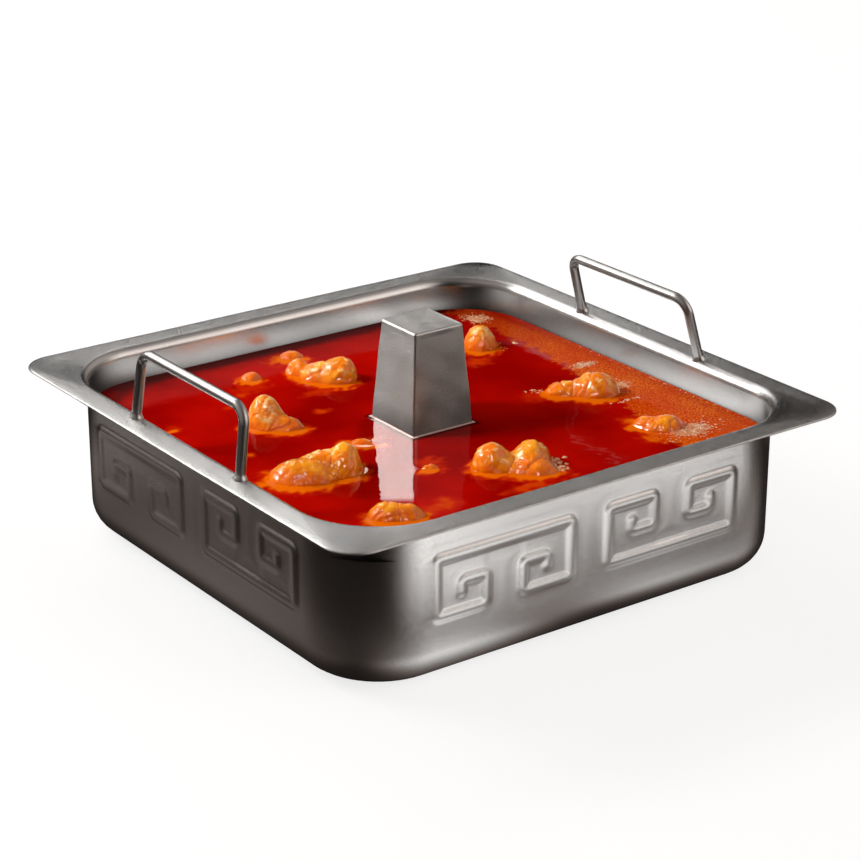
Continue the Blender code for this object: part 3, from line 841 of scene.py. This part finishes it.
def meat_grid(piece, seed, rows, columns):
    """A piece of meat: the reach of its blended lobes along each direction from its middle,
    raised by a few round bumps, then lowered in the folds, the wrinkles and the joins, and
    roughened by two fine ripples. Also gives how deep each point lies in a crease."""
    tilt = np.linspace(0, np.pi, rows + 2)[1:-1]
    turn = np.linspace(0, 2 * np.pi, columns, endpoint=False)
    tilt, turn = np.meshgrid(tilt, turn, indexing="ij")
    unit = np.stack([np.sin(tilt) * np.cos(turn), np.sin(tilt) * np.sin(turn), np.cos(tilt)], -1)
    lobes = turned_lobes(piece)
    origin = np.array([lobes[:, 0].mean(), lobes[:, 1].mean(), -lobes[:, 5].mean()])
    reach = blended_reach(unit, origin, lobes)
    for _ in range(MEAT_SMOOTHING):
        reach = (np.roll(reach, 1, 1) + 2 * reach + np.roll(reach, -1, 1)) / 4
        reach[1:-1] = (reach[:-2] + 2 * reach[1:-1] + reach[2:]) / 4
    rng = np.random.RandomState(seed)
    for _ in range(MEAT_BUMPS):
        centre = rng.normal(size=3)
        centre /= np.linalg.norm(centre)
        bump = rng.uniform(-0.5, 1.0) * MEAT_BUMP_SIZE
        reach = reach * (1 + bump * np.exp((unit @ centre - 1) / MEAT_BUMP_WIDTH))
    size = lobes[:, 2:4].min(-1).max()
    local = unit * reach[..., None]
    warp = np.stack([ripple(local, WARP_SPACING, seed + 90 + k) for k in range(3)], -1)
    warped = local + warp * WARP_REACH
    folds = valleys(warped, FOLD_SPACING, FOLD_WIDTH, seed + 50)
    wrinkles = valleys(warped, WRINKLE_SPACING, WRINKLE_WIDTH, seed + 70)
    pulls = np.sort(lobe_pulls(origin + 0.5 * (local + warped), lobes), -1)
    joins = np.exp(JOIN_SHARPNESS * (pulls[..., -2] - pulls[..., -1])) if len(lobes) > 1 else 0.0
    lowered = FOLD_DEPTH * folds**1.5 + WRINKLE_DEPTH * wrinkles**1.5 + JOIN_DEPTH * joins**2
    bumps = LUMP_HEIGHT * ripple(warped, LUMP_SPACING, seed + 60)
    bumps = bumps + GRAIN_HEIGHT * ripple(local, GRAIN_SPACING, seed + 61)
    share = min(size / FULL_DEPTH_SIZE, 1.0)
    local = origin + unit * (reach + share * (MEAT_SWELL - lowered + bumps))[..., None]
    # How deep each point lies in a crease: the finish paints these places darker as shade.
    crease = np.maximum(0.8 * folds, 0.6 * joins**2) + 0.4 * wrinkles
    if "bone" in piece:
        x, y, z, radius = piece["bone"]
        middle = (*turn_about(x, y, -piece["turn"]), z)
        apart = np.linalg.norm(local - middle, axis=-1)
        ring = np.exp(-(((apart - radius) / BONE_EDGE_WIDTH) ** 2))
        hollow = np.exp(-((apart / radius / BONE_HOLLOW) ** 4))
        local = local + unit * (BONE_EDGE_HEIGHT * ring - BONE_DEPTH * hollow)[..., None]
        # the bone's hollow is painted dark as shade too
        crease = np.maximum(crease * (1 - ring), hollow * 1.8)
    x, y = turn_about(local[..., 0], local[..., 1], piece["turn"])
    z = local[..., 2] + BROTH_LEVEL * 1000
    return np.stack([x, y, z], -1) / 1000, crease


def meat_finish():
    """Stewed meat: golden on top with pale streaks that are partly fat and partly a painted
    highlight, deep orange where the broth has run off it, painted darker and redder in the
    creases as shade, and wet all over with oil."""
    meat, mix = new_finish("meat_glazed")
    place = mix.node("TexCoord", {}, {}, "Object")
    height = mix.node("SeparateXYZ", {}, {"Vector": place}, "Z")
    patches, fat, grain = (
        mix.node("TexNoise", {}, {
            "Vector": place, "Scale": scale, "Detail": detail, "Distortion": distortion,
        })
        for scale, detail, distortion in ((90.0, 4.0, 0.0), (130.0, 3.0, 1.5), (600.0, 3.0, 0.0))
    )
    crease = mix.node("Attribute", {"attribute_name": "crease"}, {}, "Fac")
    above = height + (patches - 0.5) * 0.008
    flesh = mix.blend(patches.ease(0.38, 0.66), *MEAT_FLESH)
    # pale streaks above the broth: partly fat, partly a painted highlight
    streaks = fat.ease(0.54, 0.64) * above.ease(BROTH_LEVEL + 0.003, BROTH_LEVEL + 0.009)
    flesh = mix.blend(streaks * 0.8, flesh, MEAT_FAT_AND_HIGHLIGHT)
    # painted shade: darker and redder in the creases and the bone's hollow
    flesh = mix.blend((crease * 0.5).clip(), flesh, MEAT_CREASE_SHADE)
    out_of_broth = above.ease(BROTH_LEVEL, BROTH_LEVEL + 0.0085)
    paint = mix.blend(out_of_broth, MEAT_SOAKED, flesh)
    relief = grain * 0.12 + fat * 0.3 + patches
    bump = mix.node("Bump", {}, {"Height": relief, "Strength": 0.7, "Distance": 0.0016})
    shader = mix.node("BsdfPrincipled", {}, {
        "Base Color": paint,
        "Roughness": (grain - 0.5) * 0.2 + 0.32,
        "Specular IOR Level": 0.05,
        "Subsurface Weight": 0.5,
        "Subsurface Radius": (1.0, 0.45, 0.12),
        "Subsurface Scale": 0.005,
        "Coat Weight": 0.8,
        "Coat Roughness": 0.03,
        "Normal": bump,
    })
    mix.node("OutputMaterial", {}, {"Surface": shader})
    return meat


glazed = meat_finish()
for seed, (name, piece) in enumerate(MEAT.items()):
    small = max(lobe[3] for lobe in piece["lobes"]) < SMALL_MEAT
    rows, columns = (MEAT_ROWS // 2, MEAT_COLUMNS // 2) if small else (MEAT_ROWS, MEAT_COLUMNS)
    points, crease = meat_grid(piece, seed, rows, columns)
    ends = points[[0, -1]].mean(1)
    ring = np.concatenate([points, points[:, :1]], 1)
    uv = np.stack([arc_lengths(ring, 1), arc_lengths(ring, 0)], -1)
    mesh = grid_mesh(f"{name}_lump", points, uv, ends[0], ends[1])
    mark_points(mesh, "crease", crease, [crease[0].mean(), crease[-1].mean()])
    mesh.materials.append(glazed)
    lump = bpy.data.objects.new(f"{name}_lump", mesh)
    scene.collection.objects.link(lump)
    aimed_at["food"].objects.link(lump)
    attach(lump, "root")
    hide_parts(name)

# ---------------------------------------------------------------------------------------
# The broth: thick with chilli oil, deep red, and still but for slow ripples. It creeps up
# the steel and the meat a little, and the meat under it shows through as orange.
# ---------------------------------------------------------------------------------------
BROTH_HALF = 0.1612
BROTH_CORNER = 0.0492
BROTH_CELLS = 250
BROTH_FOOT = 0.024
# From here down to SURFACE_DROP, lengths are in millimetres.
# What the broth creeps up: how high against it, and the reach over which that falls away.
WALL_CREEP = (1.0, 1.6)
TOWER_CREEP = (1.0, 1.5)
MEAT_CREEP = (0.5, 2.0)
# The broad and the fine ripples on it, spacing and height, and how near the wall they
# die away.
SWELL_SPACING, SWELL_HEIGHT = 24.0, 0.030
FINE_SPACING, FINE_HEIGHT = 8.0, 0.010
CALM_REACH = 6
# How the edges of what shows in it wander, and how strongly the edge of sunk flesh frays.
WANDER_SPACING = 16.0
FRAY, FRAY_SPACING = 0.52, 7.0
# Bits of meat that lie sunk: place x and y, reach in x and y, and how strongly each shows.
SUNK_BITS = [
    (-134, 72, 5, 3, 0.9), (-116, 13, 4, 3, 0.8), (-42, 48, 6, 4, 0.6), (-86, 86, 4, 3, 0.5),
    (-67, 99, 5, 4, 0.6), (-56, 107, 12, 8, 0.45), (-12, 138, 12, 9, 0.75), (82, -10, 12, 9, 0.45),
    (88, 62, 11, 7, 0.55), (-37, -57, 9, 8, 0.5), (-63, -107, 6, 5, 0.6), (-78, -113, 13, 6, 0.55),
    (-21, 76, 16, 6, 0.5), (-118, -44, 12, 6, 0.7), (101, -84, 8, 14, 0.9), (95, -104, 9, 8, 0.8),
    (-50, -10, 14, 6, 0.6), (-12, -120, 16, 6, 0.6), (-66, -113, 9, 6, 0.6), (-133, 74, 8, 5, 0.4),
]
# Sunk flesh shows out to this many times a lobe's girth, and further to its front.
SEEN_GIRTH = 1.62
SEEN_TOWARDS = (-2.5, -3.5)
# The clear oil film in front of the tower: the ways across and along it, its two edges
# and its end, each with the length over which it fades.
FILM_ACROSS = (0.808, -0.589)
FILM_AHEAD = (-0.589, -0.808)
FILM_LEFT, FILM_LEFT_FADE = -42.0, 6
FILM_RIGHT, FILM_RIGHT_FADE = -3.5, 2.5
FILM_END, FILM_END_FADE = 126.0, 6
# The shade under the back left wall, and the line where the slick by the right wall ends.
WALL_SHADE = 20.0
OIL_EDGE_Y = [-160, -120, -107, -72, -47, 11, 31, 56, 104, 160]
OIL_EDGE_X = [70, 101, 92, 110, 119, 127, 131, 134, 134, 130]
OIL_FADE = 9
# Froth in the slick, written as the sunk bits are.
FROTH_SPOTS = [(139, 130, 8, 8, 1), (140, 18, 9, 4, 1), (120, -107, 13, 9, 1), (137, -24, 6, 5, 1)]
SURFACE_DROP = 0.02
BROTH_REDS = ((0.22, 0.0004, 0.0002), (0.37, 0.0022, 0.0005))
SUNK_ORANGES = ((0.46, 0.018, 0.0004), (0.64, 0.115, 0.0010))
OIL_ORANGES = ((0.44, 0.028, 0.0010), (0.66, 0.150, 0.0110))
OIL_CLOUD = (0.42, 0.016, 0.0008)
OIL_WALL_SHADE = (0.24, 0.008, 0.0008)
FROTH_PALE = (0.54, 0.26, 0.13)
SHADE_RED = (0.05, 0.0002, 0.0002)
TOWER_SHADE = (0.05, 0.0003, 0.0003)
TOWER_MENISCUS_HIGHLIGHT = (0.60, 0.41, 0.36)


def broth_outline(points, half, corner):
    """Where points of a square from -1 to 1 come to lie in the round-cornered bowl: the
    outermost ones are drawn in along rays to the bowl's outline, the inner ones less."""
    far = np.abs(points).max(-1)
    unit = points / np.maximum(far, 1e-9)[..., None]
    near_corner = np.abs(unit).min(-1)
    straight = (half - corner) / half
    # along the ray (1, m), the outline is where a circle about (straight, straight) is met
    m, c, r = near_corner, straight, corner / half
    a, b = 1 + m * m, c * (1 + m)
    met = (b + np.sqrt(np.maximum(b * b - a * (2 * c * c - r * r), 0))) / a
    reach = np.where(m > c, met, 1.0)
    share = np.clip((far - 0.45) / 0.55, 0, 1)
    share = share * share * (3 - 2 * share)
    return points * (1 + (reach - 1) * share)[..., None] * half, far


axis = np.linspace(-1, 1, BROTH_CELLS + 1)
square = np.stack(np.meshgrid(axis, axis, indexing="ij"), -1)
flat, far = broth_outline(square, BROTH_HALF, BROTH_CORNER)
mm = flat * 1000


def lobe_distance(mm, x, y, length, width, turn):
    """Distance from a lobe's middle as a share of its half length and half width."""
    along, across = turn_about(mm[..., 0] - x, mm[..., 1] - y, -turn)
    return np.hypot(along / length, across / width)


def seen_meat(mm, pieces):
    """How strongly sunk meat shows at each point of the surface: 1 at the waterline of a
    lobe, falling to 0 at SEEN_GIRTH, about a middle moved to the side it is seen from.
    Also the distance to its waterline."""
    shows = np.zeros(mm.shape[:-1])
    shore = np.full(mm.shape[:-1], np.inf)
    for piece in pieces:
        for x, y, length, width, tall, depth in piece["lobes"]:
            shape = (length, width, piece["turn"])
            waterline = math.sqrt(1 - (depth / tall) ** 2)
            past = lobe_distance(mm, x, y, *shape) - waterline
            shore = np.minimum(shore, np.maximum(past, 0) * min(length, width))
            past = lobe_distance(mm, x + SEEN_TOWARDS[0], y + SEEN_TOWARDS[1], *shape) - waterline
            shows = np.maximum(shows, np.clip(1 - past / (SEEN_GIRTH - waterline), 0, 1))
    return shows, shore


def ragged_spots(mm, spots, ragged, spacing):
    """The strongest of some oval spots at each point: each is its strength times
    1.5 - distance, held between 0 and 1, with the distance as a share of its reach and
    made ragged by a ripple."""
    strongest = np.zeros(mm.shape[:-1])
    for x, y, length, width, strength in spots:
        apart = lobe_distance(mm, x, y, length, width, 0)
        apart = apart + ragged * ripple(mm, spacing, int(abs(x)))
        strongest = np.maximum(strongest, strength * np.clip(1.5 - apart, 0, 1))
    return strongest


def creep(gap, height, reach):
    """How far the broth stands up against a piece: height * exp(-gap / reach)."""
    return height * np.exp(-np.maximum(gap, 0) / reach)


shows, shore = seen_meat(mm, MEAT.values())
wander = ripple(mm, WANDER_SPACING, 301)
fray = FRAY * (wander + 0.7 * ripple(mm, FRAY_SPACING, 303)) * np.sqrt(shows * (1 - shows))
shows = np.maximum(np.clip(shows + fray, 0, 1), ragged_spots(mm, SUNK_BITS, 0.25, 9.0))
edge_x = np.interp(mm[..., 1], OIL_EDGE_Y, OIL_EDGE_X)
oil = mm[..., 0] - edge_x + 3 * wander + 2 * ripple(mm, 6.0, 302)
oil = np.clip(oil / OIL_FADE + 0.5, 0, 1)
froth = ragged_spots(mm, FROTH_SPOTS, 0.3, 6.0)
across, ahead = mm @ np.array(FILM_ACROSS), mm @ np.array(FILM_AHEAD)
film = np.clip((FILM_RIGHT - across) / FILM_RIGHT_FADE, 0, 1)
film = film * np.clip((across - FILM_LEFT) / FILM_LEFT_FADE, 0, 1)
film = film * np.clip((FILM_END - ahead) / FILM_END_FADE, 0, 1) * (ahead > 0)
shade = np.clip(1 - (BROTH_HALF * 1000 - mm[..., 1] + 1.5 * wander) / WALL_SHADE, 0, 1)
from_wall = (1 - far) * BROTH_HALF * 1000
tower_gap = np.abs(mm - np.array(TOWER_MIDDLE) * 1000).max(-1) - TOWER_HALF_AT_BROTH * 1000
rise = creep(from_wall, *WALL_CREEP) + creep(tower_gap, *TOWER_CREEP) + creep(shore, *MEAT_CREEP)
swell = SWELL_HEIGHT * ripple(mm, SWELL_SPACING, 310)
swell = swell + FINE_HEIGHT * ripple(mm, FINE_SPACING, 311)
calm = np.clip(from_wall / CALM_REACH, 0, 1)
z = BROTH_LEVEL + (rise + swell * calm - SURFACE_DROP) / 1000
top = np.concatenate([flat, z[..., None]], -1)

# one closed body: the surface, a skirt straight down from its edge, and a fan at the foot
n = BROTH_CELLS + 1
index = np.arange(n * n).reshape(n, n)
corners = [index[:-1, :-1], index[1:, :-1], index[1:, 1:], index[:-1, 1:]]
quads = np.stack(corners, -1).reshape(-1, 4)
rim = np.concatenate([index[:-1, 0], index[-1, :-1], index[:0:-1, -1], index[0, :0:-1]])
foot = top.reshape(-1, 3)[rim].copy()
foot[:, 2] = BROTH_FOOT
low = n * n + np.arange(rim.size)
after, low_after = np.roll(rim, -1), np.roll(low, -1)
skirt = np.stack([rim, low, low_after, after], -1)
middle = n * n + rim.size
fan = np.stack([np.full(rim.size, middle), low_after, low], -1)
verts = np.concatenate([top.reshape(-1, 3), foot, [[0.0, 0.0, BROTH_FOOT]]])
broth_mesh = bpy.data.meshes.new("broth_surface")
broth_mesh.from_pydata(verts.tolist(), [], quads.tolist() + skirt.tolist() + fan.tolist())
broth_mesh.validate()
broth_mesh.shade_smooth()
surface_marks = {"shows": shows, "oil": oil, "froth": froth, "film": film, "shade": shade}
for name, values in surface_marks.items():
    mark_points(broth_mesh, name, values, np.zeros(rim.size + 1))


def broth_finish():
    """Broth: deep red, orange where meat shows through, speckled orange where oil gathers
    along the right wall, and paler where there is froth in the oil. Painted shade darkens it
    under the back left wall, in the oil towards the back and right walls, and round the
    tower's foot, where a thin painted highlight marks the waterline."""
    broth, mix = new_finish("broth_red")
    place = mix.node("TexCoord", {}, {}, "Object")
    x, y = (mix.node("SeparateXYZ", {}, {"Vector": place}, axis) for axis in "XY")
    shows, oil, froth, film, shade = (
        mix.node("Attribute", {"attribute_name": name}, {}, "Fac") for name in surface_marks
    )
    clouds, drops, speckle = (
        mix.node("TexNoise", {}, {"Vector": place, "Scale": scale, "Detail": detail})
        for scale, detail in ((14.0, 3.0), (160.0, 3.0), (800.0, 2.0))
    )
    red = mix.blend(clouds.ease(0.32, 0.70), *BROTH_REDS)
    orange = mix.blend(shows.ease(0.45, 1.0), *SUNK_ORANGES)
    paint = mix.blend(shows.ease(0.0, 0.75), red, orange)
    slick = mix.blend(speckle.ease(0.38, 0.64), *OIL_ORANGES)
    slick = mix.blend(clouds.ease(0.42, 0.62) * 0.45, slick, OIL_CLOUD)
    # painted shade: the oil is darker towards the back wall and along the right wall
    wall_shade_on_oil = y.ease(0.03, 0.13) * 0.75 + x.ease(0.148, 0.161) * 0.45
    slick = mix.blend(wall_shade_on_oil.clip(), slick, OIL_WALL_SHADE)
    oily = (oil * (drops * 0.7 + 0.65)).ease(0.10, 0.90)
    paint = mix.blend(oily * 0.92, paint, slick)
    pale = (froth * (speckle + 0.5)).ease(0.25, 1.1)
    paint = mix.blend(pale, paint, FROTH_PALE)
    shaded = shade.ease(0.0, 1.0) * (1 - pale) * (1 - oily * 0.5) * 0.9
    paint = mix.blend(shaded, paint, SHADE_RED)
    gap_x, gap_y = ((a - middle).math("ABSOLUTE") for a, middle in zip((x, y), TOWER_MIDDLE))
    gap = gap_x.math("MAXIMUM", gap_y) - TOWER_HALF_AT_BROTH
    # Painted shade in a ring round the tower's foot, and inside it a thin painted highlight at the
    # broth's waterline.
    paint = mix.blend(1 - gap.ease(0.0016, 0.0048), paint, TOWER_SHADE)
    paint = mix.blend(1 - gap.ease(0.0007, 0.0014), paint, TOWER_MENISCUS_HIGHLIGHT)
    bump = mix.node("Bump", {}, {"Height": speckle * oily, "Strength": 0.5, "Distance": 0.0003})
    shader = mix.node("BsdfPrincipled", {}, {
        "Base Color": paint,
        "Roughness": oily * 0.10 + 0.035,
        "IOR": 1.36,
        "Specular IOR Level": 0.0,
        "Coat Weight": (film * 0.945 + 0.055) * (1 - oily * 0.75),
        "Coat Roughness": 0.03,
        "Coat IOR": 2.3,
        "Normal": bump,
    })
    mix.node("OutputMaterial", {}, {"Surface": shader})
    return broth


broth_mesh.materials.append(broth_finish())
broth = bpy.data.objects.new("broth_surface", broth_mesh)
scene.collection.objects.link(broth)
aimed_at["food"].objects.link(broth)
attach(broth, "root")
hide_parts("broth")
broth.visible_glossy = False

# ---------------------------------------------------------------------------------------
# The froth: bubbles and bits of fat afloat in small clusters, mostly by the right wall and
# beside the front piece of meat. Each is a low dome, its underside just in the broth.
# ---------------------------------------------------------------------------------------
# Clusters in millimetres: place x and y, spread in x and y, smallest and largest radius,
# and how many.
CLUSTERS = [
    (18, -102, 4.5, 5.0, 0.6, 1.7, 70), (139, 130, 4.0, 5.0, 0.3, 0.7, 150),
    (140, 18, 4.5, 2.2, 0.3, 0.8, 110), (120, -107, 9.0, 5.0, 0.25, 0.75, 330),
    (129.6, 76.5, 1.2, 0.8, 0.9, 1.5, 4), (122, -47, 5.0, 1.0, 0.3, 0.8, 30),
    (137, -24, 4.0, 4.0, 0.3, 0.7, 30), (85, -3, 3.0, 3.0, 0.4, 0.9, 16),
    (117, 78, 2.0, 6.0, 0.3, 0.8, 16), (159.6, -20, 0.35, 48.0, 0.4, 0.8, 90),
]
BUBBLE_ROWS = 5
BUBBLE_COLUMNS = 10
BUBBLE_RISE = 0.62
BUBBLE_FOOT = 0.35
BUBBLE_TILTS = (-0.5, 1.15)
FROTH_SEED = 77
FROTH_CREAMS = ((0.52, 0.17, 0.05), (0.70, 0.42, 0.26))


def cluster_domes():
    """Domes strewn over the clusters. A dome's points run from under the broth to its top:
    radius times the cosine of the row's angle outward, radius times BUBBLE_RISE times its
    sine upward, with the radius waved round the dome so that it is not quite round."""
    rng = np.random.RandomState(FROTH_SEED)
    places, radii = [], []
    for x, y, spread_x, spread_y, small, large, count in CLUSTERS:
        strewn = [rng.normal(x, spread_x, count), rng.normal(y, spread_y, count)]
        places.append(np.stack(strewn, -1))
        radii.append(rng.uniform(small, large, count))
    places, radii = np.concatenate(places) / 1000, np.concatenate(radii) / 1000
    past = np.abs(places) - (BROTH_HALF - BROTH_CORNER)
    inside = np.hypot(*np.maximum(past, 0).T) + np.minimum(past.max(-1), 0) < BROTH_CORNER - radii
    places, radii = places[inside], radii[inside]
    tilt = np.linspace(*BUBBLE_TILTS, BUBBLE_ROWS)[None, :, None]
    turn = np.linspace(0, 2 * np.pi, BUBBLE_COLUMNS, endpoint=False)[None, None, :]
    lumpy = 1 + 0.22 * np.sin(2 * turn + rng.uniform(0, 6.3, radii.size)[:, None, None])
    lumpy = lumpy + 0.12 * np.sin(3 * turn + rng.uniform(0, 6.3, radii.size)[:, None, None])
    out = radii[:, None, None] * np.cos(tilt) * lumpy
    up = np.broadcast_to(radii[:, None, None] * BUBBLE_RISE * np.sin(tilt), out.shape)
    ring = np.stack([out * np.cos(turn), out * np.sin(turn), up], -1)
    poles = np.zeros((radii.size, 2, 3))
    poles[:, 0, 2], poles[:, 1, 2] = -BUBBLE_FOOT * radii, BUBBLE_RISE * radii
    points = np.concatenate([ring.reshape(radii.size, -1, 3), poles], 1)
    points[..., :2] += places[:, None]
    points[..., 2] += BROTH_LEVEL
    return points


domes = cluster_domes()
i, j = np.meshgrid(np.arange(BUBBLE_ROWS - 1), np.arange(BUBBLE_COLUMNS), indexing="ij")
after = (j + 1) % BUBBLE_COLUMNS
low, high = i * BUBBLE_COLUMNS, (i + 1) * BUBBLE_COLUMNS
walls = np.stack([low + j, low + after, high + after, high + j], -1).reshape(-1, 4)
around = np.arange(BUBBLE_COLUMNS)
beside = (around + 1) % BUBBLE_COLUMNS
count, last = BUBBLE_ROWS * BUBBLE_COLUMNS, (BUBBLE_ROWS - 1) * BUBBLE_COLUMNS
under = np.stack([np.full(BUBBLE_COLUMNS, count), beside, around], -1)
over = np.stack([np.full(BUBBLE_COLUMNS, count + 1), last + around, last + beside], -1)
start = (np.arange(len(domes)) * domes.shape[1])[:, None, None]
faces = [(f + start).reshape(-1, f.shape[1]).tolist() for f in (walls, under, over)]
froth_mesh = bpy.data.meshes.new("froth_bubbles")
froth_mesh.from_pydata(domes.reshape(-1, 3).tolist(), [], sum(faces, []))
froth_mesh.validate()
froth_mesh.shade_smooth()
cream, mix = new_finish("froth_cream")
place = mix.node("TexCoord", {}, {}, "Object")
mottle = mix.node("TexNoise", {}, {"Vector": place, "Scale": 300.0, "Detail": 2.0})
shader = mix.node("BsdfPrincipled", {}, {
    "Base Color": mix.blend(mottle.ease(0.4, 0.62), *FROTH_CREAMS),
    "Roughness": 0.3,
    "Subsurface Weight": 0.3,
    "Subsurface Radius": (1.0, 0.5, 0.25),
    "Subsurface Scale": 0.001,
    "Coat Weight": 0.4,
    "Coat Roughness": 0.1,
})
mix.node("OutputMaterial", {}, {"Surface": shader})
froth_mesh.materials.append(cream)
froth = bpy.data.objects.new("froth_bubbles", froth_mesh)
scene.collection.objects.link(froth)
aimed_at["food"].objects.link(froth)
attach(froth, "root")
